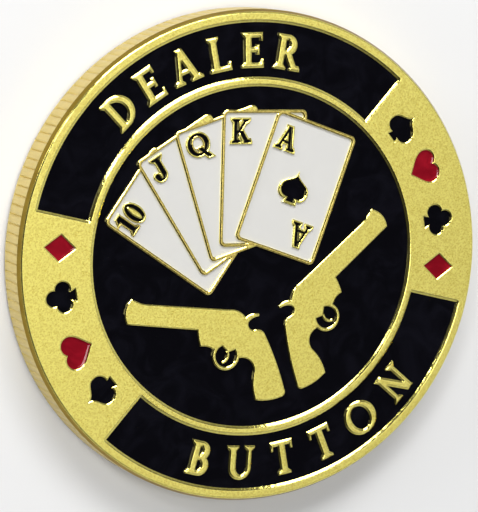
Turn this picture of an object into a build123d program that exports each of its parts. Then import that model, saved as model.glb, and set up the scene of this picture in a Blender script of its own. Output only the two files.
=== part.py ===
"""Metal poker dealer button: a die-struck, gold-plated coin with soft enamel in its recesses.

Millimetres. The coin lies flat with its resting rim on z = 0, its axis along +Z, and the
front design's upright direction along +Y. The origin is the centre of the resting rim.
Both faces carry the same design, so that either face can be up; the reverse is the front
turned half a turn about the Y direction.
"""
from build123d import *
from math import cos, degrees, radians, sin
import os

# Blank
DIAMETER = 50.0
THICKNESS = 4.9
FACE_EDGE_RADIUS = 24.75        # where the flat face meets the bevel of the edge
BEVEL_HEIGHT = 0.55             # smooth bevel on each side of the reeded band
REED_COUNT = 164
REED_GROOVE_WIDTH = 0.22
REED_GROOVE_DEPTH = 0.15

# Relief: every enamel cell is a pocket of this depth, filled up to the recess
POCKET_DEPTH = 0.60
ENAMEL_RECESS = 0.25            # enamel surface below the raised metal

# Rings of the design
BAND_OUTER_RADIUS = 23.70
BAND_INNER_RADIUS = 18.24
FIELD_RADIUS = 17.28
BAND_HALF_ANGLE = 59.0          # each black band spans this much either side of the Y axis

# Lettering
CAP_HEIGHT = 3.4
UPPER_BASELINE_RADIUS = 19.20
LOWER_BASELINE_RADIUS = 22.75
UPPER_WORD = "DEALER"
LOWER_WORD = "BUTTON"
UPPER_GAP = 1.40
LOWER_GAP = 2.00
SMALLEST_CELL = 0.30            # mm2; a smaller gap in the relief stays metal
SMALLEST_COUNTER = 0.12         # mm2; the same for the closed spaces in the letters

# Fan of playing cards, lowest card first
CARD_WIDTH = 9.2
CARD_HEIGHT = 13.8
CARD_CORNER = 0.6
CARD_LINE = 0.34                # raised metal outline of a card
INDEX_HEIGHT = 2.35
INDEX_LINE = 0.17               # raised metal outline of an index letter
PIP_HEIGHT = 3.0
PIP_LINE = 0.26                 # raised metal outline of the pip
# name, centre of the card, tilt in degrees, index text, index place from the card's centre
CARDS = [
    ("ten", (-6.38, 6.05), 38.0, "10", (-2.60, 4.78)),
    ("jack", (-3.13, 7.78), 14.7, "J", (-2.93, 4.94)),
    ("queen", (0.00, 7.95), 0.0, "Q", (-2.46, 4.90)),
    ("king", (3.24, 7.40), -18.2, "K", (-2.50, 4.76)),
    ("ace", (6.35, 5.27), -37.3, "A", (-2.66, 4.42)),
]
ACE_LOWER_INDEX = (2.10, -4.42)     # from the ace's centre
ACE_PIP = (-0.17, -0.05)

# Suit symbols on the metal side panels
SUIT_RADIUS = 20.8
SUIT_INNER_ANGLE = 7.8
SUIT_OUTER_ANGLE = 21.4
SUIT_TURN = -0.7                # the set of symbols sits this far round from the bands
SUIT_SIZE = 3.25

# Trigger guard of the revolvers
GUARD_CENTRE = (5.8, -8.57)
GUARD_RADIUS = 1.47
GUARD_LINE = 0.34
TRIGGER_CENTRE = (6.28, -8.33)
TRIGGER_OUTER = 0.90
TRIGGER_INNER = 0.62

EPS = 0.01


# ---- lettering: plain serif capitals, drawn on a cap height of CAP_HEIGHT ----------------
THICK = 0.64
THIN = 0.36
STEM_X = 0.55                   # axis of a letter's left stem
SERIF_LENGTH = 1.35
SERIF_HEIGHT = 0.42
WORD_BOLDNESS = 0.08            # added round every stroke of the two words


def quad(*points):
    return make_face(Polyline(*points, close=True))


def slant(x0, y0, x1, y1, width, grow=0.0):
    """A straight stroke from (x0, y0) up to (x1, y1) with level ends."""
    run, rise = x1 - x0, y1 - y0
    half = width / 2 + grow * (1 + abs(run) / rise) ** 0.5
    k = grow / rise
    x0, x1 = x0 - run * k, x1 + run * k
    y0, y1 = y0 - grow, y1 + grow
    return quad((x0 - half, y0), (x0 + half, y0), (x1 + half, y1), (x1 - half, y1))


def bar(x0, x1, y, width, grow=0.0):
    """A level stroke from x0 to x1, centred on height y."""
    low, high = y - width / 2 - grow, y + width / 2 + grow
    return quad((x0 - grow, low), (x1 + grow, low), (x1 + grow, high), (x0 - grow, high))


def foot(x, y, side, stem=THICK, length=SERIF_LENGTH, grow=0.0):
    """A wedge serif whose flat end is at height y; side is +1 to rise from it, -1 to hang."""
    half, neck = length / 2 + grow, stem / 2 + grow
    low = y - side * grow
    mid = y + side * SERIF_HEIGHT * 0.35
    high = y + side * (SERIF_HEIGHT + grow)
    return quad((x - half, low), (x + half, low), (x + half, mid), (x + neck, high),
                (x - neck, high), (x - half, mid))


def upright(x, width=THICK, grow=0.0, length=SERIF_LENGTH):
    """A full-height stem with a serif at each end."""
    return (slant(x, 0, x, CAP_HEIGHT, width, grow)
            + foot(x, 0, 1, width, length, grow) + foot(x, CAP_HEIGHT, -1, width, length, grow))


def ring(x, y, radius, side, flat, grow=0.0):
    """A round stroke: side wide at its left and right, flat wide at its top and bottom."""
    shape = Circle(radius + grow)
    hole = radius - max(side, flat) - grow
    if hole > EPS:
        shape -= Ellipse(radius - side - grow, radius - flat - grow)
    return Pos(x, y) * shape


def bowl(x, y, radius, grow=0.0):
    """The right half of a round stroke, joined to a stem at the left by level strokes."""
    half = Pos(x + radius, y) * Rectangle(2 * radius, 4 * radius)
    outer = Circle(radius + grow)
    inner = Circle(radius - THIN - grow)
    shape = (Pos(x, y) * outer - Pos(x - (THICK - THIN), y) * inner) & half
    reach = radius - THIN / 2
    return (shape + bar(STEM_X, x + EPS, y + reach, THIN, grow)
            + bar(STEM_X, x + EPS, y - reach, THIN, grow))


def letter_a(grow):
    width = 2.9
    legs = (slant(0.42, 0, width / 2 - 0.05, CAP_HEIGHT, THIN, grow)
            + slant(width - 0.52, 0, width / 2 - 0.05, CAP_HEIGHT, THICK, grow))
    cross = bar(0.75, width - 0.95, 1.12, THIN * 0.9, grow)
    return (legs + cross + foot(0.45, 0, 1, THIN, 1.0, grow)
            + foot(width - 0.5, 0, 1, THICK, 1.25, grow)), width


def letter_b(grow):
    stem = upright(STEM_X, grow=grow, length=1.2)
    return stem + bowl(1.05, 2.50, 0.90, grow) + bowl(1.15, 0.99, 0.99, grow), 2.2


def letter_d(grow):
    return upright(STEM_X, grow=grow, length=1.2) + bowl(1.0, 1.7, 1.7, grow), 2.75


def arm(x0, x1, y, grow, tip=0.0):
    """A level arm that ends in a small upright wedge; tip gives the wedge's direction."""
    shape = bar(x0, x1, y, THIN, grow)
    reach = 0.52
    if tip:
        base = y - tip * THIN / 2
        shape += quad((x1 - 0.30 - grow, base - tip * grow), (x1 + grow, base - tip * grow),
                      (x1 + grow, y + tip * (reach + grow)),
                      (x1 - 0.14 - grow, y + tip * (reach + grow)))
    else:
        shape += bar(x1 - 0.2, x1, y, 0.85, grow)
    return shape


def letter_e(grow):
    stem = upright(STEM_X, grow=grow, length=1.2)
    return (stem + arm(0.5, 2.2, THIN / 2, grow, 1) + arm(0.5, 2.1, CAP_HEIGHT - THIN / 2, grow, -1)
            + arm(0.5, 1.75, 1.75, grow)), 2.3


def letter_j(grow):
    hook_x, hook_y, hook_r = 0.92, 0.86, 0.86
    stem_x = hook_x + hook_r - THICK / 2
    stem = slant(stem_x, hook_y - EPS, stem_x, CAP_HEIGHT, THICK, grow)
    hook = ring(hook_x, hook_y, hook_r, THICK, THIN, grow)
    lower = Pos(hook_x, hook_y - 1) * Rectangle(4, 2)
    dot = Pos(0.36, 0.95) * Circle(0.36 + grow)
    return (hook & lower) + stem + dot + foot(stem_x, CAP_HEIGHT, -1, THICK, 1.7, grow), 2.0


def letter_k(grow):
    stem = upright(0.6, grow=grow, length=1.35)
    upper = slant(0.62, 0.96, 2.15, CAP_HEIGHT, THIN * 1.2, grow)
    lower = slant(2.3, 0, 1.3, 1.7, THICK, grow)
    return (stem + upper + lower + foot(2.1, CAP_HEIGHT, -1, THIN, 1.05, grow)
            + foot(2.35, 0, 1, THICK, 1.15, grow)), 2.9


def letter_l(grow):
    return upright(STEM_X, grow=grow, length=1.2) + arm(0.5, 2.15, THIN / 2, grow, 1), 2.25


def letter_n(grow):
    width = 3.0
    left, right = STEM_X, width - 0.5
    stems = (slant(left, 0, left, CAP_HEIGHT, THIN, grow)
             + slant(right, 0, right, CAP_HEIGHT, THIN, grow))
    diagonal = slant(right - 0.12, 0, left - 0.05, CAP_HEIGHT, THICK * 1.05, grow)
    return (stems + diagonal + foot(left, 0, 1, THIN, 1.05, grow)
            + foot(right, CAP_HEIGHT, -1, THIN, 1.05, grow)), width


def letter_o(grow):
    return ring(1.6, 1.7, 1.74, THICK, THIN, grow), 3.2


def letter_q(grow):
    body = ring(1.6, 1.75, 1.65, THICK, THIN, grow)
    return body + slant(3.0, -0.45, 1.75, 1.15, THICK * 0.9, grow), 3.3


def letter_r(grow):
    stem = upright(STEM_X, grow=grow, length=1.2)
    leg = slant(2.15, 0, 1.15, 1.75, THICK, grow)
    return stem + bowl(1.1, 2.44, 0.96, grow) + leg + foot(2.2, 0, 1, THICK, 1.0, grow), 2.5


def letter_t(grow):
    middle = 1.3
    beam = bar(0.15, 2 * middle - 0.15, CAP_HEIGHT - THIN / 2, THIN, grow)
    stem = slant(middle, 0, middle, CAP_HEIGHT - THIN / 2, THICK, grow)
    shape = beam + stem + foot(middle, 0, 1, THICK, 1.3, grow)
    for side in (-1, 1):
        tip = middle + side * 1.15
        shape += quad((tip, CAP_HEIGHT + grow), (tip + side * grow, CAP_HEIGHT - 0.82 - grow),
                      (tip - side * (0.10 + grow), CAP_HEIGHT - 0.82 - grow),
                      (tip - side * (0.34 + grow), CAP_HEIGHT + grow))
    return shape, 2 * middle


def letter_u(grow):
    left, right, turn = STEM_X, 2.35, 1.16
    outer_left, outer_right = left - THICK / 2, right + THIN / 2
    inner_left, inner_right = left + THICK / 2, right - THIN / 2
    outer_radius = (outer_right - outer_left) / 2
    outer = Pos((outer_left + outer_right) / 2, turn) * Circle(outer_radius + grow)
    inner = Pos((inner_left + inner_right) / 2, turn) * Ellipse(
        (inner_right - inner_left) / 2 - grow, outer_radius - THIN - grow)
    lower = Pos((outer_left + outer_right) / 2, turn - 2) * Rectangle(6, 4)
    stems = (slant(left, turn - EPS, left, CAP_HEIGHT, THICK, grow)
             + slant(right, turn - EPS, right, CAP_HEIGHT, THIN, grow))
    return (((outer - inner) & lower) + stems + foot(left, CAP_HEIGHT, -1, THICK, 1.2, grow)
            + foot(right, CAP_HEIGHT, -1, THIN, 1.0, grow)), 2.85


def digit_0(grow):
    outer = Ellipse(0.98 + grow, 1.74 + grow)
    inner = Ellipse(0.98 - THICK * 0.9 - grow, 1.74 - THIN - grow)
    return Pos(0.98, 1.7) * (outer - inner), 1.96


def digit_1(grow):
    stem = slant(0.75, 0, 0.75, CAP_HEIGHT, THICK, grow)
    flag = slant(0.1, 2.62, 0.6, CAP_HEIGHT, THIN, grow)
    return stem + flag + foot(0.75, 0, 1, THICK, 1.4, grow), 1.5


GLYPHS = {"A": letter_a, "B": letter_b, "D": letter_d, "E": letter_e, "J": letter_j,
          "K": letter_k, "L": letter_l, "N": letter_n, "O": letter_o, "Q": letter_q,
          "R": letter_r, "T": letter_t, "U": letter_u, "0": digit_0, "1": digit_1}


def word_on_arc(word, baseline_radius, gap, upper):
    """Letters along an arc, upright at its middle; upper words curve over, lower ones under."""
    glyphs = [GLYPHS[letter](WORD_BOLDNESS) for letter in word]
    middle_radius = baseline_radius + (CAP_HEIGHT / 2 if upper else -CAP_HEIGHT / 2)
    total = sum(width for _, width in glyphs) + gap * (len(word) - 1)
    travel = -total / 2
    placed = []
    for shape, width in glyphs:
        turn = degrees((travel + width / 2) / middle_radius)
        angle = -turn if upper else turn
        shift = baseline_radius if upper else -baseline_radius
        placed.append(Rot(0, 0, angle) * Pos(-width / 2, shift) * shape)
        travel += width + gap
    return placed


def resized(shape, factor):
    """A sketch scaled about the drawing's origin."""
    return Pos(shape.position * (factor - 1)) * scale(shape, by=factor)


def index_mark(text, line=0.0):
    """A card's corner index, centred on the origin; line widens every stroke for its outline."""
    factor = INDEX_HEIGHT / CAP_HEIGHT
    gap = 0.25
    glyphs = [GLYPHS[letter](line / factor) for letter in text]
    total = sum(width for _, width in glyphs) + gap * (len(text) - 1)
    start = -total / 2
    marks = []
    for shape, width in glyphs:
        marks.append(Pos(start * factor, -INDEX_HEIGHT / 2) * resized(shape, factor))
        start += width + gap
    return marks


# ---- suit symbols, centred on their own origins, upright along +Y ------------------------
def diamond(size):
    return quad((0, size / 2), (size * 0.41, 0), (0, -size / 2), (-size * 0.41, 0))


def heart(size, sweep=0.16, rise=0.18, cheek=0.13, lobe=0.42):
    """Two round lobes on top; a smaller sweep and a longer rise draw the flanks in to the point."""
    side, shoulder = size * 0.53, size * 0.13
    lobe_top, cleft, point = size * lobe, size * (lobe - 0.11), -size * 0.5
    edges = []
    for s in (1, -1):
        edges.append(Bezier((0, point), (s * size * sweep, point + size * rise),
                            (s * side, -size * cheek), (s * side, shoulder)))
        edges.append(ThreePointArc((s * side, shoulder), (s * side * 0.56, lobe_top), (0, cleft)))
    return make_face(edges)


def stalk(neck, foot, top, base):
    """The flared stalk of a spade or club, given the half widths of its neck and foot."""
    edges = [Line((-foot, base), (foot, base)), Line((-neck, top), (neck, top))]
    for s in (1, -1):
        waist = (s * (neck + (foot - neck) * 0.3), base + (top - base) * 0.4)
        edges.append(ThreePointArc((s * foot, base), waist, (s * neck, top)))
    return make_face(edges)


def spade(size, line=0.0):
    """A turned-over heart on a stalk; line widens it on every side for its outline."""
    widened = 1 + 2.2 * line / size
    lift = size * (0.06 - 0.035 * (widened - 1))
    leaf = heart(size, sweep=0.0, rise=0.34, cheek=0.20, lobe=0.47)
    body = Pos(0, lift) * Rot(0, 0, 180) * resized(leaf, 0.88 * widened)
    foot = stalk(size * 0.12 + line, size * 0.18 + line, -size * 0.15, -size * 0.5 - line)
    return body + foot


def club(size):
    leaf = size * 0.245
    shape = Pos(0, size * 0.245) * Circle(leaf) + Circle(size * 0.17)
    for s in (1, -1):
        shape += Pos(s * size * 0.235, -size * 0.07) * Circle(leaf)
    return shape + stalk(size * 0.09, size * 0.19, -size * 0.05, -size * 0.47)


# ---- revolver silhouette, pointing right, mirrored for the left one ----------------------
def revolver():
    outline = [
        Polyline((7.95, -4.98), (14.90, -1.86)),                        # under the barrel
        ThreePointArc((14.90, -1.86), (14.72, -0.62), (13.70, 0.42)),   # muzzle
        Line((13.70, 0.42), (12.45, -0.58)),                            # front sight
        Line((12.45, -0.58), (4.10, -4.17)),                            # top of the barrel
        ThreePointArc((4.10, -4.17), (3.10, -4.75), (2.62, -5.58)),     # back of the frame
        ThreePointArc((2.62, -5.58), (1.90, -5.43), (1.18, -5.66)),     # hammer spur
        ThreePointArc((1.18, -5.66), (1.14, -5.80), (1.28, -5.92)),
        ThreePointArc((1.28, -5.92), (1.90, -5.90), (2.45, -6.12)),
        ThreePointArc((2.45, -6.12), (2.60, -6.50), (2.05, -7.10)),     # notch under the hammer
        ThreePointArc((2.05, -7.10), (1.38, -7.42), (1.12, -8.05)),     # top of the backstrap
        ThreePointArc((1.12, -8.05), (0.78, -11.0), (0.72, -14.10)),
        ThreePointArc((0.72, -14.10), (0.82, -14.55), (1.25, -14.74)),  # butt
        ThreePointArc((1.25, -14.74), (2.70, -14.58), (4.08, -14.05)),
        Line((4.08, -14.05), (4.05, -13.20)),
        ThreePointArc((4.05, -13.20), (3.82, -12.20), (3.42, -11.30)),  # front of the grip
        ThreePointArc((3.42, -11.30), (3.32, -10.30), (4.42, -9.30)),
        Polyline((4.42, -9.30), (5.60, -8.60), (6.98, -7.40)),          # behind the guard
        ThreePointArc((6.98, -7.40), (7.42, -6.98), (8.15, -6.70)),     # crane
        ThreePointArc((8.15, -6.70), (8.10, -5.80), (7.95, -4.98)),
    ]
    guard = Pos(*GUARD_CENTRE) * Circle(GUARD_RADIUS)
    return make_face(outline) + guard


def trigger_opening():
    """The space inside the guard, round the curved trigger."""
    x, y = GUARD_CENTRE
    inside = Pos(x, y) * Circle(GUARD_RADIUS - GUARD_LINE)
    frame = quad((x - 1.8, y + 0.28), (x - 0.30, y + 0.28), (x + 0.15, y + 1.3), (x - 1.8, y + 1.3))
    tx, ty = TRIGGER_CENTRE
    hook = Pos(tx, ty) * (Circle(TRIGGER_OUTER) - Circle(TRIGGER_INNER))
    sweep = quad((tx, ty), (tx - 2, ty + 0.5), (tx - 2, ty - 2), (tx + 0.35, ty - 2))
    return inside - frame - (hook & sweep)


# ---- cells: every enamel area as a flat face on the XY plane ------------------------------
def split_faces(sketch, smallest=SMALLEST_CELL):
    """A sketch's faces, largest first, without the ones too small to hold enamel."""
    faces = [face for face in sketch.faces() if face.area > smallest]
    return sorted(faces, key=lambda face: -face.area)


def band(start_angle):
    """A band of the outer ring, from start_angle through twice BAND_HALF_ANGLE."""
    a, b = radians(start_angle), radians(start_angle + 2 * BAND_HALF_ANGLE)
    inner, outer = BAND_INNER_RADIUS, BAND_OUTER_RADIUS
    edges = [
        CenterArc((0, 0), outer, start_angle, 2 * BAND_HALF_ANGLE),
        CenterArc((0, 0), inner, start_angle, 2 * BAND_HALF_ANGLE),
        Line((inner * cos(a), inner * sin(a)), (outer * cos(a), outer * sin(a))),
        Line((inner * cos(b), inner * sin(b)), (outer * cos(b), outer * sin(b))),
    ]
    return make_face(edges)


def band_cells():
    """The two black bands round their raised words, and the closed spaces in the letters."""
    cells, counters = {}, []
    words = [("upper_band", 90, UPPER_WORD, UPPER_BASELINE_RADIUS, UPPER_GAP, True),
             ("lower_band", 270, LOWER_WORD, LOWER_BASELINE_RADIUS, LOWER_GAP, False)]
    for name, middle, word, baseline, gap, upper in words:
        shape = band(middle - BAND_HALF_ANGLE)
        for letter in word_on_arc(word, baseline, gap, upper):
            shape -= letter
        faces = split_faces(shape, SMALLEST_COUNTER)
        cells[name] = [faces[0]]
        counters += faces[1:]
    cells["letter_counters"] = counters
    return cells


def card_place(card):
    _, centre, tilt, _, _ = card
    return Pos(*centre) * Rot(0, 0, tilt)


def card_blank(card, inset=0.0):
    corner = CARD_CORNER - inset * 0.6
    blank = RectangleRounded(CARD_WIDTH - 2 * inset, CARD_HEIGHT - 2 * inset, corner)
    return card_place(card) * blank


def card_cells():
    """The visible white part of each card, with its black index and the ace's pip."""
    cells = {}
    for order, card in enumerate(CARDS):
        name, _, _, text, index_place = card
        visible = card_blank(card, CARD_LINE)
        for upper_card in CARDS[order + 1:]:
            visible -= card_blank(upper_card)
        spots = [card_place(card) * Pos(*index_place)]
        if name == "ace":
            spots.append(card_place(card) * Pos(*ACE_LOWER_INDEX) * Rot(0, 0, 180))
            pip_place = card_place(card) * Pos(*ACE_PIP)
            visible -= pip_place * spade(PIP_HEIGHT, PIP_LINE)
            cells["ace_pip"] = (pip_place * spade(PIP_HEIGHT)).faces()
        marks = []
        for spot in spots:
            for outline in index_mark(text, INDEX_LINE):
                visible -= spot * outline
            for mark in index_mark(text):
                marks += (spot * mark).faces()
        cells[name + "_card"] = split_faces(visible)
        cells[name + "_index"] = marks
    return cells


def suit_cells():
    """Four suit symbols on each side panel, each with its top away from the centre."""
    layout = [("left_diamond", 180 - SUIT_OUTER_ANGLE, diamond),
              ("left_club", 180 - SUIT_INNER_ANGLE, club),
              ("left_heart", 180 + SUIT_INNER_ANGLE, heart),
              ("left_spade", 180 + SUIT_OUTER_ANGLE, spade),
              ("right_spade", SUIT_OUTER_ANGLE, spade),
              ("right_heart", SUIT_INNER_ANGLE, heart),
              ("right_club", -SUIT_INNER_ANGLE, club),
              ("right_diamond", -SUIT_OUTER_ANGLE, diamond)]
    cells = {}
    for name, angle, symbol in layout:
        place = Rot(0, 0, angle + SUIT_TURN - 90) * Pos(0, SUIT_RADIUS)
        cells[name] = (place * symbol(SUIT_SIZE)).faces()
    return cells


def field_cells():
    """The black centre field round the cards and revolvers, and the trigger guard openings."""
    field = Circle(FIELD_RADIUS)
    for card in CARDS:
        field -= card_blank(card)
    right = revolver()
    left = mirror(right, about=Plane.YZ)
    opening = trigger_opening()
    openings = [opening.faces()[0], mirror(opening, about=Plane.YZ).faces()[0]]
    return {"centre_field": [split_faces(field - right - left)[0]], "trigger_guards": openings}


# ---- solids ------------------------------------------------------------------------------
def turned_over(shape):
    """The same shape on the reverse of the coin."""
    return Pos(0, 0, THICKNESS) * Rot(0, 180, 0) * shape


def blank():
    """The coin's metal before its faces are struck: bevelled disc with a reeded edge."""
    radius = DIAMETER / 2
    profile = Polyline((0, 0), (FACE_EDGE_RADIUS, 0), (radius, BEVEL_HEIGHT),
                       (radius, THICKNESS - BEVEL_HEIGHT), (FACE_EDGE_RADIUS, THICKNESS),
                       (0, THICKNESS), close=True)
    disc = revolve(Plane.XZ * make_face(profile), axis=Axis.Z)
    half = REED_GROOVE_WIDTH / 2
    overcut = 0.05
    spread = half * (1 + overcut / REED_GROOVE_DEPTH)
    notch = quad((radius - REED_GROOVE_DEPTH, 0), (radius + overcut, spread),
                 (radius + overcut, -spread))
    reed = extrude(Pos(0, 0, BEVEL_HEIGHT) * notch, amount=THICKNESS - 2 * BEVEL_HEIGHT)
    return disc - [Rot(0, 0, 360 * i / REED_COUNT) * reed for i in range(REED_COUNT)]


def main():
    os.makedirs("parts", exist_ok=True)
    cells = {**band_cells(), **field_cells(), **card_cells(), **suit_cells()}
    floor = THICKNESS - POCKET_DEPTH
    fill = POCKET_DEPTH - ENAMEL_RECESS
    pockets = []
    for name, faces in cells.items():
        cutters = [extrude(Pos(0, 0, floor) * face, amount=POCKET_DEPTH) for face in faces]
        fills = [extrude(Pos(0, 0, floor) * face, amount=fill) for face in faces]
        pockets += cutters + [turned_over(cutter) for cutter in cutters]
        for side, solids in (("front", fills), ("back", [turned_over(solid) for solid in fills])):
            node = side + "_" + name + "_enamel"
            export_step(Compound(label=node, children=solids), "parts/" + node + ".step")
    coin = blank() - pockets
    coin.label = "coin_body"
    export_step(coin, "parts/coin_body.step")


main()
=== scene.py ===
"""Looks of the metal dealer button: struck relief, soft enamel and reeded edge.

The shape code works in millimetres in the row frame, and MM turns them into Blender's metres. The
outline of every enamel cell is read from its CAD node, so the relief is where the CAD puts it.
"""

import math

import bmesh
import bpy
import numpy as np
from mathutils import Matrix, Vector, kdtree
from mathutils.geometry import delaunay_2d_cdt


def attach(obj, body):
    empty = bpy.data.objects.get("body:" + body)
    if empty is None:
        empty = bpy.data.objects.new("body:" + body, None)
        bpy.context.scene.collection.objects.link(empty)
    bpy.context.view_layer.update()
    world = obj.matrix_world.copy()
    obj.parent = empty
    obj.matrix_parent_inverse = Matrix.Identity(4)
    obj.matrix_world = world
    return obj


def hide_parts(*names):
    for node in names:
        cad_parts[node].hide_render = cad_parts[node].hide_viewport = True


MM = 0.001

# ---- the coin, in millimetres -----------------------------------------------------------
THICKNESS = 4.9
RADIUS = 25.0
FACE_EDGE_RADIUS = 24.75
POCKET_FLOOR = THICKNESS - 0.60
ENAMEL_LEVEL = THICKNESS - 0.25
REEDS = 164
REED_DEPTH = 0.15
REED_COLUMNS = (-0.15, -0.10, -0.05, 0.0, 0.05, 0.10, 0.15)     # points across one groove

RING_CHAMFER = (0.27, 0.16)     # width and drop, beside the ring and round the bands
LETTER_CHAMFER = (0.19, 0.115)
SMALL_CHAMFER = (0.12, 0.07)    # of the suits, the cards and the revolvers
RIM_WIDTH = 0.15                # chamfer of the outer edge of a face
RIM_DROP = 0.10
CHAMFER_SHARES = (0.134, 0.5, 0.85, 1.0, 1.3)   # rows of points across a chamfer and just past it
CHAMFER_POWER = 1.1             # 1 is a flat chamfer; more than 1 rounds it a little
# Rows down the edge from a face to the full grooves: radius, height, share of the groove's depth
EDGE_ROWS = (
    (FACE_EDGE_RADIUS, THICKNESS - RIM_DROP, 0),
    (24.79, THICKNESS - 0.22, 0),
    (24.86, THICKNESS - 0.35, 0),
    (24.94, THICKNESS - 0.47, 0),
    (24.985, THICKNESS - 0.55, 0),
    (RADIUS, THICKNESS - 0.60, 0),
    (RADIUS, THICKNESS - 0.66, 0.6),
    (RADIUS, THICKNESS - 0.74, 1),
)
CARD_LINE_REACH = 0.36          # the metal this near to a card's white is its outline
FACE, BEVELS, REEDING, LINES = range(4)         # the metal's materials
CREEP_WIDTH = 0.40              # how far from its wall a red cell's enamel starts to curve up
CREEP_HEIGHT = 0.07

# ---- sampling, in millimetres ------------------------------------------------------------
WELD = 0.001                    # CAD points this near are one point
SHORTEST = 0.015                # edge of an outline
SMALLEST_AREA = 0.01            # of an outline, in square millimetres
CORNER = math.radians(20)       # an outline that turns more than this has a corner there
UNEVEN = 2.5                    # edges whose lengths differ more: the longer one is straight
STRAIGHT_STEP = 0.45
CURVE_TURN = math.radians(5)
FAN_TURN = math.radians(35)     # between the points of a row that goes round a corner
MITRE_DIVISOR = 0.35            # the smallest, so that no mitre gets long
NEAR_ENOUGH = 0.97              # share of its distance that a row's point must keep
CREEP_RINGS = [CREEP_WIDTH * k for k in (0.15, 0.4, 0.7, 1.0)]
GRID = 1.1
GRID_CLEAR = 0.8
SAMPLE_STEP = 0.1               # along the outlines that distances are measured to
WELD_DISTANCE = 2e-8            # in metres, for the finished mesh
SHARP = math.radians(42)


# ---- outlines ----------------------------------------------------------------------------
def node_triangles(name):
    """A CAD node's welded points in millimetres, and its triangles."""
    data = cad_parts[name].data
    points = np.array([v.co for v in data.vertices]) / MM
    data.calc_loop_triangles()
    triangles = np.array([t.vertices for t in data.loop_triangles])
    welded, index = np.unique(np.round(points / WELD), axis=0, return_inverse=True)
    return welded * WELD, index.reshape(-1)[triangles]


def border_of(triangles):
    """The directed edges that only one triangle has, with the triangles on their left."""
    edges = np.concatenate([triangles[:, [0, 1]], triangles[:, [1, 2]], triangles[:, [2, 0]]])
    present = set(map(tuple, edges.tolist()))
    return [(a, b) for a, b in present if (b, a) not in present]


def chain(points, border):
    """Closed loops of point indices from directed edges."""
    leaving = {}
    for a, b in sorted(border):
        leaving.setdefault(a, []).append(b)

    def heading(a, b):
        return math.atan2(points[b][1] - points[a][1], points[b][0] - points[a][0])

    loops = []
    while leaving:
        start = min(leaving)
        loop, previous, here = [], None, start
        while True:
            choices = leaving[here]
            if previous is not None and len(choices) > 1:
                back = heading(here, previous)
                choices.sort(key=lambda b: (back - heading(here, b)) % math.tau)
            after = choices.pop(0)
            if not choices:
                del leaving[here]
            loop.append(here)
            previous, here = here, after
            if here == start:
                break
        loops.append(loop)
    return loops


def area_of(loop):
    ahead = np.roll(loop, -1, axis=0)
    return 0.5 * float(np.sum(loop[:, 0] * ahead[:, 1] - ahead[:, 0] * loop[:, 1]))


def without_short_edges(loop):
    kept = [loop[0]]
    for point in loop[1:]:
        if np.linalg.norm(point - kept[-1]) > SHORTEST:
            kept.append(point)
    if len(kept) > 1 and np.linalg.norm(kept[0] - kept[-1]) <= SHORTEST:
        kept.pop()
    return np.array(kept)


def turns_of(loop):
    """Each edge's direction and length, and the turn at each corner, left turns positive."""
    ahead = np.roll(loop, -1, axis=0) - loop
    length = np.linalg.norm(ahead, axis=1)
    heading = np.arctan2(ahead[:, 1], ahead[:, 0])
    turn = (heading - np.roll(heading, 1) + math.pi) % math.tau - math.pi
    return ahead / length[:, None], length, turn


def smoothed(loop):
    """The outline with its corners kept and its curves divided more finely along a spline."""
    direction, length, turn = turns_of(loop)
    count = len(loop)
    arriving, leaving = np.roll(direction, 1, axis=0).copy(), direction.copy()
    for i in range(count):
        if abs(turn[i]) > CORNER:
            continue
        before, after = length[i - 1], length[i]
        if before > UNEVEN * after:
            tangent = direction[i - 1]
        elif after > UNEVEN * before:
            tangent = direction[i]
        else:
            tangent = direction[i - 1] * after + direction[i] * before
            tangent = tangent / np.linalg.norm(tangent)
        arriving[i] = leaving[i] = tangent
    result = []
    for i in range(count):
        j = (i + 1) % count
        start, end, span = loop[i], loop[j], length[i]
        bend = math.acos(max(-1.0, min(1.0, float(leaving[i] @ arriving[j]))))
        pieces = max(1, math.ceil(span / STRAIGHT_STEP), math.ceil(bend / CURVE_TURN))
        for k in range(pieces):
            t = k / pieces
            a = 2 * t ** 3 - 3 * t ** 2 + 1
            b = t ** 3 - 2 * t ** 2 + t
            c = t ** 3 - t ** 2
            result.append(a * start + (1 - a) * end + span * (b * leaving[i] + c * arriving[j]))
    return np.array(result)


def outlines(name):
    """The smooth closed outlines of an enamel node's top, the enamel on their left."""
    points, triangles = node_triangles(name)
    top = points[:, 2].max()
    level = (points[triangles][:, :, 2] > top - 10 * WELD).all(axis=1)
    flat = triangles[level]
    flat = flat[(flat != np.roll(flat, 1, axis=1)).all(axis=1)]
    found = []
    for loop in chain(points, border_of(flat)):
        loop = without_short_edges(points[loop][:, :2])
        if len(loop) > 2 and abs(area_of(loop)) > SMALLEST_AREA:
            found.append(smoothed(loop))
    return found


# ---- distances ---------------------------------------------------------------------------
class Distance:
    """Distance from points to the nearest of many outlines."""

    def __init__(self, loops):
        self.start = np.concatenate(loops)
        self.end = np.concatenate([np.roll(loop, -1, axis=0) for loop in loops])
        span = np.linalg.norm(self.end - self.start, axis=1)
        owners, places = [], []
        for i, pieces in enumerate(np.ceil(span / SAMPLE_STEP).astype(int)):
            for k in range(pieces):
                owners.append(i)
                places.append(self.start[i] + (self.end[i] - self.start[i]) * (k + 0.5) / pieces)
        self.owners = np.array(owners)
        self.tree = kdtree.KDTree(len(places))
        for i, place in enumerate(places):
            self.tree.insert((place[0], place[1], 0), i)
        self.tree.balance()

    def __call__(self, points, nearest=5):
        near = np.array([[hit[1] for hit in self.tree.find_n((x, y, 0), nearest)]
                         for x, y in points])
        owner = self.owners[near]
        start, along = self.start[owner], self.end[owner] - self.start[owner]
        offset = points[:, None, :] - start
        share = (offset * along).sum(-1) / np.maximum((along * along).sum(-1), 1e-12)
        gap = offset - along * np.clip(share, 0, 1)[..., None]
        return np.linalg.norm(gap, axis=-1).min(axis=1)


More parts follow.
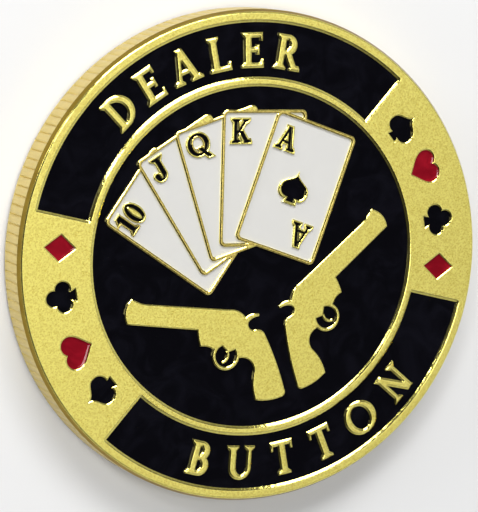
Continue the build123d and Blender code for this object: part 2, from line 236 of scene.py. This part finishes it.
# ---- one flat region divided into triangles ------------------------------------------------
def ring_chains(loop, side, distances, measure):
    """Points beside an outline, in rows at the distances given; side is +1 for its left."""
    direction, _, turn = turns_of(loop)
    before = np.roll(direction, 1, axis=0)
    out = side * np.stack([-direction[:, 1], direction[:, 0]], axis=1)
    out_before = side * np.stack([-before[:, 1], before[:, 0]], axis=1)
    offsets, anchors = [], []
    for i in range(len(loop)):
        if side * turn[i] < -CORNER:
            fans = max(2, math.ceil(abs(turn[i]) / FAN_TURN))
            for k in range(fans + 1):
                angle = turn[i] * k / fans
                c, s = math.cos(angle), math.sin(angle)
                x, y = out_before[i]
                offsets.append((c * x - s * y, s * x + c * y))
                anchors.append(loop[i])
        else:
            mitre = out[i] + out_before[i]
            offsets.append(mitre / max(MITRE_DIVISOR, 1 + float(out[i] @ out_before[i])))
            anchors.append(loop[i])
    offsets, anchors = np.array(offsets), np.array(anchors)
    rows = []
    for distance in distances:
        points = anchors + distance * offsets
        rows.append((points, measure(points) > NEAR_ENOUGH * distance - WELD / 2))
    return rows


def triangulated(loops, rings=(), extra=()):
    """Triangles of the region inside an odd number of the loops: (points, triangles)."""
    points, edges, faces = [], [], []
    for loop in loops:
        first = len(points)
        points += (loop if area_of(loop) > 0 else loop[::-1]).tolist()
        faces.append(list(range(first, len(points))))
    for row, valid in rings:
        count = len(row)
        place = {}
        for i in range(count):
            if valid[i]:
                place[i] = len(points)
                points.append(row[i].tolist())
        for i in place:
            j = (i + 1) % count
            if j in place and np.linalg.norm(row[i] - row[j]) < 1.2 * STRAIGHT_STEP:
                edges.append((place[i], place[j]))
    points += [list(point) for point in extra]
    made = delaunay_2d_cdt([Vector(p) for p in points], edges, faces, 0, 0.002)
    inside = [face for face, owners in zip(made[2], made[5]) if len(owners) % 2]
    corners = np.array([tuple(p) for p in made[0]])
    triangles = np.array(inside)
    a, b, c = (corners[triangles[:, k]] for k in range(3))
    signed = (b[:, 0] - a[:, 0]) * (c[:, 1] - a[:, 1]) - (b[:, 1] - a[:, 1]) * (c[:, 0] - a[:, 0])
    triangles[signed < 0] = triangles[signed < 0][:, ::-1]
    return corners, triangles


def grid_points(clear, measure):
    """A sparse grid over the face, off the outlines and the rim by clear."""
    side = np.arange(-FACE_EDGE_RADIUS, FACE_EDGE_RADIUS, GRID)
    x, y = np.meshgrid(side, side)
    points = np.stack([x.ravel(), y.ravel()], axis=1)
    points = points[np.linalg.norm(points, axis=1) < FACE_EDGE_RADIUS - clear]
    return points[measure(points) > clear]


def relaxed(values, triangles, fixed, rounds):
    """Values evened out over the triangles, those that are fixed left alone."""
    pairs = np.concatenate([triangles[:, [0, 1]], triangles[:, [1, 2]], triangles[:, [2, 0]]])
    pairs = np.concatenate([pairs, pairs[:, ::-1]])
    degree = np.bincount(pairs[:, 0], minlength=len(values)).astype(float)
    for _ in range(rounds):
        around = np.bincount(pairs[:, 0], weights=values[pairs[:, 1]], minlength=len(values))
        evened = np.where(degree > 0, around / np.maximum(degree, 1), values)
        values = np.where(fixed, values, 0.5 * values + 0.5 * evened)
    return values


# ---- closed solids ---------------------------------------------------------------------------
class Shell:
    """Faces collected for one mesh, each with its material number."""

    def __init__(self):
        self.points, self.faces, self.kinds = [], [], []
        self.count = 0

    def add(self, points, faces, kind=0):
        self.points.append(np.asarray(points, float))
        self.faces += (np.asarray(faces) + self.count).tolist()
        self.kinds += [kind] * len(faces)
        self.count += len(points)

    def add_shell(self, other, turned=False):
        """Takes over another shell's faces; turned puts them on the reverse face."""
        points = np.concatenate(other.points)
        if turned:
            points = points * (-1, 1, -1) + (0, 0, THICKNESS)
        self.points.append(points)
        self.faces += [[i + self.count for i in face] for face in other.faces]
        self.kinds += other.kinds
        self.count += len(points)

    def build(self, name, materials):
        """The welded mesh as an object, in metres."""
        points = np.concatenate(self.points)
        data = bpy.data.meshes.new(name)
        data.from_pydata((points * MM).tolist(), [], self.faces)
        data.polygons.foreach_set("material_index", self.kinds)
        mesh = bmesh.new()
        mesh.from_mesh(data)
        bmesh.ops.remove_doubles(mesh, verts=mesh.verts, dist=WELD_DISTANCE)
        for face in mesh.faces:
            face.smooth = True
        mesh.to_mesh(data)
        mesh.free()
        data.set_sharp_from_angle(angle=SHARP)
        for material in materials:
            data.materials.append(material)
        piece = bpy.data.objects.new(name, data)
        bpy.context.scene.collection.objects.link(piece)
        return piece


def at_height(points, height):
    return np.column_stack([points, np.broadcast_to(height, len(points))])


def add_walls(shell, points, top, bottom, border, kind=0):
    """Upright walls from the border of a surface down to the bottom height."""
    used = sorted({i for edge in border for i in edge})
    place = {i: k for k, i in enumerate(used)}
    size = len(used)
    upper = at_height(points[used], top[used])
    lower = at_height(points[used], bottom)
    quads = [(place[b], place[a], place[a] + size, place[b] + size) for a, b in border]
    shell.add(np.concatenate([upper, lower]), quads, kind)


def boundary_loops(points, border):
    return [points[loop] for loop in chain(points, border)]


# ---- the parts ---------------------------------------------------------------------------------
def chamfer(share):
    """Drop of a chamfer, 1 at the edge and 0 from a share of 1 inwards."""
    return (1 - np.clip(share, 0, 1)) ** CHAMFER_POWER


def inward_of_rim(points):
    return FACE_EDGE_RADIUS - np.linalg.norm(points, axis=1)


def enamel_shell(loops, measure, grid, creeps):
    """One node's enamel: its surface, which may creep up the walls, its sides and an underside."""
    rings = []
    if creeps:
        rings = [ring for loop in loops for ring in ring_chains(loop, 1, CREEP_RINGS, measure)]
    everywhere = np.concatenate(loops)
    near = (grid > everywhere.min(axis=0)) & (grid < everywhere.max(axis=0))
    points, triangles = triangulated(loops, rings, grid[near.all(axis=1)])
    border = border_of(triangles)
    height = np.full(len(points), ENAMEL_LEVEL)
    if creeps:
        height += CREEP_HEIGHT * (1 - np.clip(measure(points) / CREEP_WIDTH, 0, 1)) ** 3
        fixed = np.zeros(len(points), bool)
        fixed[sorted({i for edge in border for i in edge})] = True
        height = relaxed(height, triangles, fixed, 2)
    shell = Shell()
    shell.add(at_height(points, height), triangles)
    add_walls(shell, points, height, POCKET_FLOOR, border)
    below, underside = triangulated(boundary_loops(points, border))
    shell.add(at_height(below, POCKET_FLOOR), underside[:, ::-1])
    return shell


def chamfer_rows(loops, side, width, measure):
    distances = [width * share for share in CHAMFER_SHARES]
    return [row for loop in loops for row in ring_chains(loop, side, distances, measure)]


def struck_face(groups, cards, measure, grid):
    """The metal of the front face: its relief, and the walls and floors under the enamel.

    Each group is some cells' outlines with the width and drop of the chamfer beside them. The
    cards are the outer outlines of the white cells; their raised lines get a darker gold, painted
    shade for the shading on the thin ridges.
    """
    rim = rim_circle()
    cells = [loop for loops, _ in groups for loop in loops]
    rows = [row for loops, (width, _) in groups for row in chamfer_rows(loops, -1, width, measure)]
    rows += chamfer_rows([rim], 1, RIM_WIDTH, inward_of_rim)
    points, triangles = triangulated([rim] + cells, rows, grid)
    inward = inward_of_rim(points)
    on_rim = inward < WELD
    inward[on_rim] = 0
    height = THICKNESS - RIM_DROP * chamfer(inward / RIM_WIDTH)
    for loops, (width, drop) in groups:
        height -= drop * chamfer(Distance(loops)(points) / width)
    pockets = [edge for edge in border_of(triangles) if not on_rim[edge[0]]]
    shell = Shell()
    # the card lines take the darker gold: painted shade for the shading on their thin ridges
    on_line = Distance(cards)(points[triangles].mean(axis=1)) < CARD_LINE_REACH
    shell.add(at_height(points, height), triangles[~on_line], FACE)
    shell.add(at_height(points, height), triangles[on_line], LINES)
    add_walls(shell, points, height, POCKET_FLOOR, pockets, FACE)
    floor, tiles = triangulated(boundary_loops(points, pockets))
    shell.add(at_height(floor, POCKET_FLOOR), tiles, FACE)
    return shell


def reed_angles():
    """Angles of the edge's points: across each groove, and the middle of each land."""
    pitch = math.tau / REEDS
    across = [x / RADIUS for x in REED_COLUMNS] + [pitch / 2]
    return np.array([i * pitch + angle for i in range(REEDS) for angle in across])


def rim_circle():
    angles = reed_angles()
    return FACE_EDGE_RADIUS * np.stack([np.cos(angles), np.sin(angles)], axis=1)


def edge_shell():
    """The coin's edge: a smooth bevel at each face and straight reeding between them."""
    angles = reed_angles()
    across = [math.cos(x / REED_COLUMNS[-1] * math.pi / 2) ** 2 for x in REED_COLUMNS] + [0]
    cut = REED_DEPTH * np.array(across * REEDS)
    lower = [(radius, THICKNESS - z, depth) for radius, z, depth in reversed(EDGE_ROWS)]
    rows = list(EDGE_ROWS) + lower
    size = len(angles)
    rings = []
    for radius, z, depth in rows:
        out = radius - depth * cut
        rings.append(np.column_stack([out * np.cos(angles), out * np.sin(angles), np.full(size, z)]))
    quads = [(i, i + size, (i + 1) % size + size, (i + 1) % size) for i in range(size)]
    shell = Shell()
    for row in range(len(rows) - 1):
        reeded = rows[row][2] > 0 or rows[row + 1][2] > 0
        shell.add(np.concatenate(rings[row:row + 2]), quads, REEDING if reeded else BEVELS)
    return shell


# ---- materials -----------------------------------------------------------------------------------
class Nodes:
    """A new material and short ways to wire its nodes."""

    def __init__(self, name):
        self.material = bpy.data.materials.new(name)
        self.material.use_nodes = True
        self.tree = self.material.node_tree
        self.shader = self.tree.nodes["Principled BSDF"]
        self.place = self.tree.nodes.new("ShaderNodeTexCoord").outputs["Object"]

    def link(self, source, target):
        self.tree.links.new(source, target)

    def node(self, kind, **inputs):
        made = self.tree.nodes.new(kind)
        for name, value in inputs.items():
            socket = made.inputs[name.replace("_", " ")]
            if isinstance(value, bpy.types.NodeSocket):
                self.link(value, socket)
            else:
                socket.default_value = value
        return made

    def stretched(self, scale):
        return self.node("ShaderNodeMapping", Vector=self.place, Scale=scale).outputs["Vector"]

    def noise(self, size_mm, detail=2.0, place=None):
        """Noise from 0 to 1 whose blobs are about size_mm across."""
        made = self.node("ShaderNodeTexNoise", Vector=place or self.place,
                         Scale=1 / (size_mm * MM), Detail=detail)
        return made.outputs["Fac"]

    def cells(self, size_mm):
        made = self.node("ShaderNodeTexVoronoi", Vector=self.place, Scale=1 / (size_mm * MM))
        return made.outputs["Distance"]

    def ranged(self, value, low, high, to_low, to_high, smooth=False):
        made = self.tree.nodes.new("ShaderNodeMapRange")
        made.interpolation_type = "SMOOTHSTEP" if smooth else "LINEAR"
        self.link(value, made.inputs["Value"])
        for name, number in (("From Min", low), ("From Max", high),
                             ("To Min", to_low), ("To Max", to_high)):
            made.inputs[name].default_value = number
        return made.outputs["Result"]

    def maths(self, operation, first, second):
        made = self.tree.nodes.new("ShaderNodeMath")
        made.operation = operation
        for socket, value in zip(made.inputs, (first, second)):
            if isinstance(value, bpy.types.NodeSocket):
                self.link(value, socket)
            else:
                socket.default_value = value
        return made.outputs[0]

    def blend(self, share, first, second):
        """A colour between two colours."""
        made = self.tree.nodes.new("ShaderNodeMix")
        made.data_type = "RGBA"
        self.link(share, made.inputs[0])
        for socket, value in zip(made.inputs[6:8], (first, second)):
            if isinstance(value, bpy.types.NodeSocket):
                self.link(value, socket)
            else:
                socket.default_value = (*value, 1)
        return made.outputs[2]

    def bump(self, height, depth_mm):
        made = self.node("ShaderNodeBump", Height=height, Distance=depth_mm * MM)
        self.link(made.outputs["Normal"], self.shader.inputs["Normal"])

    def set(self, **values):
        for name, value in values.items():
            socket = self.shader.inputs[name.replace("_", " ")]
            if isinstance(value, bpy.types.NodeSocket):
                self.link(value, socket)
            else:
                socket.default_value = value
        return self.material


def struck_gold(name, dark, light):
    """Sandblasted plating on the level faces, turning bright and smooth on the chamfers."""
    n = Nodes(name)
    normal = n.tree.nodes.new("ShaderNodeNewGeometry").outputs["Normal"]
    upward = n.node("ShaderNodeSeparateXYZ", Vector=normal).outputs["Z"]
    level = n.ranged(n.maths("ABSOLUTE", upward, 0), 0.91, 0.985, 0, 1, smooth=True)
    grain = n.noise(0.16, detail=3)
    pits = n.ranged(n.cells(0.30), 0.05, 0.28, 0, 1, smooth=True)
    sand = n.maths("MULTIPLY", n.maths("ADD", grain, n.maths("MULTIPLY", pits, 0.35)), level)
    dents = n.maths("MULTIPLY", n.noise(0.45, detail=2), n.maths("SUBTRACT", 1.0, level))
    n.bump(n.maths("ADD", sand, n.maths("MULTIPLY", dents, 0.5)), 0.032)
    rough = n.ranged(grain, 0.3, 0.7, 0.56, 0.66)
    rough = n.maths("ADD", n.maths("MULTIPLY", n.maths("SUBTRACT", rough, 0.13), level), 0.13)
    tone = n.ranged(n.maths("MULTIPLY", grain, pits), 0.25, 0.6, 0, 1)
    colour = n.blend(tone, dark, light)
    return n.set(Base_Color=colour, Metallic=1.0, Roughness=rough)


def bevel_gold_painted_dark():
    """The bevels: the die's smooth sides with a few dents, their gold painted dark brown as painted
    shade for the dark surroundings they reflect.
    """
    n = Nodes("bevel_gold_painted_dark")
    dents = n.noise(0.7, detail=3)
    n.bump(dents, 0.03)
    # painted shade: a dark brown base colour stands in for the dark reflection on the polished bevels
    colour = n.blend(n.noise(2.0), (0.20, 0.125, 0.014), (0.36, 0.25, 0.042))
    return n.set(Base_Color=colour, Metallic=1.0, Roughness=n.ranged(dents, 0.3, 0.7, 0.14, 0.24))


def reeded_gold():
    """The reeded edge: satin lands with fine marks along the axis."""
    n = Nodes("reeded_gold")
    marks = n.noise(0.10, detail=3, place=n.stretched((1, 1, 0.12)))
    n.bump(marks, 0.008)
    colour = n.blend(n.noise(1.4, detail=3), (0.62, 0.49, 0.155), (0.75, 0.61, 0.225))
    return n.set(Base_Color=colour, Metallic=1.0, Roughness=n.ranged(marks, 0.3, 0.7, 0.32, 0.42))


def enamel(name, dark, light, rough, waves_mm):
    """Glossy soft enamel with an uneven poured surface and faint flow marks."""
    n = Nodes(name)
    waves = n.noise(3.2, detail=0.6)
    n.bump(waves, waves_mm)
    flow = n.node("ShaderNodeTexNoise", Vector=n.place, Scale=1 / (3.4 * MM), Detail=3.0,
                  Distortion=1.6).outputs["Fac"]
    colour = n.blend(n.ranged(flow, 0.36, 0.80, 0, 1, smooth=True), dark, light)
    gloss = n.ranged(waves, 0.3, 0.7, rough, rough * 1.6)
    return n.set(Base_Color=colour, Roughness=gloss, IOR=1.5)


def paper_white():
    """The studio floor: pale, matt and faintly uneven."""
    n = Nodes("studio_floor")
    shade = n.blend(n.noise(40), (0.80, 0.80, 0.80), (0.84, 0.84, 0.84))
    return n.set(Base_Color=shade, Roughness=0.75)


# ---- scene -----------------------------------------------------------------------------------------
FLOOR_HALF = 1.2                # metres
WALL_LIGHT = 0.60
CEILING_LIGHT = 0.03
WALL_TOP = 0.15                 # sine of the angle above the horizon where the walls start to fade
CEILING_EDGE = 0.75             # and where they have faded to the ceiling
# Soft lights: name, place and size in metres, power in watts
LIGHTS = (
    ("top", (-0.10, 0.06, 0.58), (0.26, 0.26), 1.38),
    ("key", (0.11, 0.43, 0.40), (0.42, 0.18), 2.6),
    ("sparkle", (-0.20, 0.34, 0.45), (0.08, 0.08), 0.35),
    ("rim", (-0.38, 0.48, 0.20), (0.25, 0.25), 0.9),
)
CAMERA_PLACE = (-94.52, 67.70, 257.72 + THICKNESS)
CAMERA_LOOK = (0.3296, -0.2375, -0.9138)
CAMERA_UP = (0.3319, 0.9352, -0.1233)
CAMERA_LENS = 197.07
SENSOR = 36.0


def add_floor():
    half = FLOOR_HALF
    data = bpy.data.meshes.new("studio_floor")
    data.from_pydata([(-half, -half, 0), (half, -half, 0), (half, half, 0), (-half, half, 0)],
                     [], [(0, 1, 2, 3)])
    data.materials.append(paper_white())
    floor = bpy.data.objects.new("studio_floor", data)
    bpy.context.scene.collection.objects.link(floor)


def add_light(name, place, size, watts):
    """A soft rectangular light in metres, turned to the coin."""
    data = bpy.data.lights.new(name, "AREA")
    data.shape = "RECTANGLE"
    data.size, data.size_y = size
    data.energy = watts
    light = bpy.data.objects.new(name, data)
    light.location = place
    light.rotation_euler = (-Vector(place)).to_track_quat("-Z", "Y").to_euler()
    bpy.context.scene.collection.objects.link(light)


def add_room():
    """The studio round the table: pale walls that fade to a dark ceiling."""
    world = bpy.data.worlds.new("studio")
    bpy.context.scene.world = world
    world.use_nodes = True
    nodes, links = world.node_tree.nodes, world.node_tree.links
    direction = nodes.new("ShaderNodeTexCoord").outputs["Generated"]
    split = nodes.new("ShaderNodeSeparateXYZ")
    links.new(direction, split.inputs[0])
    fade = nodes.new("ShaderNodeMapRange")
    fade.interpolation_type = "SMOOTHSTEP"
    links.new(split.outputs["Z"], fade.inputs["Value"])
    for name, value in (("From Min", WALL_TOP), ("From Max", CEILING_EDGE),
                        ("To Min", WALL_LIGHT), ("To Max", CEILING_LIGHT)):
        fade.inputs[name].default_value = value
    nodes["Background"].inputs["Color"].default_value = (1, 1, 1, 1)
    links.new(fade.outputs["Result"], nodes["Background"].inputs["Strength"])


def add_camera():
    """Long lens, looking down on the coin from the upper left of its front design."""
    data = bpy.data.cameras.new("camera")
    data.lens = CAMERA_LENS
    data.sensor_width = SENSOR
    data.clip_start = 0.01
    camera = bpy.data.objects.new("camera", data)
    back = -Vector(CAMERA_LOOK).normalized()
    right = Vector(CAMERA_UP).cross(back).normalized()
    up = back.cross(right)
    turn = Matrix((right, up, back)).transposed().to_4x4()
    camera.matrix_world = Matrix.Translation(Vector(CAMERA_PLACE) * MM) @ turn
    bpy.context.scene.collection.objects.link(camera)
    bpy.context.scene.camera = camera


# ---- the coin put together -------------------------------------------------------------------------
# Cells whose outer outline has the ring's chamfer, and cells with letters in them
RING_CELLS = ("front_centre_field_enamel", "front_upper_band_enamel", "front_lower_band_enamel")
LETTER_CELLS = ("front_upper_band_enamel", "front_lower_band_enamel",
                "front_letter_counters_enamel")
# Enamels: dark and light colour, roughness, depth of the surface's waves in millimetres
ENAMELS = {
    "black_enamel": ((0.0018, 0.0017, 0.0031), (0.0044, 0.0043, 0.0075), 0.05, 0.025),
    "white_enamel": ((0.690, 0.682, 0.655), (0.705, 0.698, 0.67), 0.10, 0.02),
    "red_enamel": ((0.20, 0.003, 0.010), (0.38, 0.008, 0.022), 0.07, 0.03),
}


def enamel_kind(node):
    if "heart" in node or "diamond" in node:
        return "red_enamel"
    return "white_enamel" if "_card_" in node else "black_enamel"


def add_coin():
    names = sorted(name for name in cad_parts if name.startswith("front_"))
    cells = {name: outlines(name) for name in names}
    every_loop = [loop for name in names for loop in cells[name]]
    measure = Distance(every_loop)
    grid = grid_points(GRID_CLEAR, measure)

    metal = Shell()
    outer = [max(cells[name], key=lambda loop: abs(area_of(loop))) for name in RING_CELLS]
    used = {id(loop) for loop in outer}
    letters = [loop for name in LETTER_CELLS for loop in cells[name] if id(loop) not in used]
    used |= {id(loop) for loop in letters}
    small = [loop for loop in every_loop if id(loop) not in used]
    groups = [(outer, RING_CHAMFER), (letters, LETTER_CHAMFER), (small, SMALL_CHAMFER)]
    cards = [loop for name in names if "_card_" in name for loop in cells[name] if area_of(loop) > 0]
    face = struck_face(groups, cards, measure, grid)
    metal.add_shell(face)
    metal.add_shell(face, turned=True)
    metal.add_shell(edge_shell())
    face_gold = struck_gold("struck_gold", (0.80, 0.655, 0.12), (0.99, 0.905, 0.275))
    # painted shade: the card lines get a darker copy of the struck gold
    painted_shade_line_gold = struck_gold("painted_shade_line_gold", (0.46, 0.35, 0.075), (0.86, 0.71, 0.21))
    coin = metal.build("coin_metal", [face_gold, bevel_gold_painted_dark(), reeded_gold(), painted_shade_line_gold])
    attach(coin, "root")
    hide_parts("coin_body")

    glaze = {kind: enamel(kind, *look) for kind, look in ENAMELS.items()}
    for name in names:
        shell = enamel_shell(cells[name], measure, grid, enamel_kind(name) == "red_enamel")
        for side, turned in (("front", False), ("back", True)):
            node = name.replace("front", side, 1)
            kind = enamel_kind(node)
            placed = Shell()
            placed.add_shell(shell, turned)
            piece = placed.build(node.replace("_enamel", "_glaze"), [glaze[kind]])
            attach(piece, "root")
            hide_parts(node)


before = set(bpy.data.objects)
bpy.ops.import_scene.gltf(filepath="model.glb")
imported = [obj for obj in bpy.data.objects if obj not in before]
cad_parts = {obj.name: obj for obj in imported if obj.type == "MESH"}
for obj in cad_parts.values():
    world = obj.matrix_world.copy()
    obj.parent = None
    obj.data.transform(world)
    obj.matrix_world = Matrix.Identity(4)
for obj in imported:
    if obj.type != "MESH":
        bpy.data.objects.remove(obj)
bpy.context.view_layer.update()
bpy.context.scene.view_settings.view_transform = "Standard"
add_coin()
add_floor()
add_room()
for light in LIGHTS:
    add_light(*light)
add_camera()
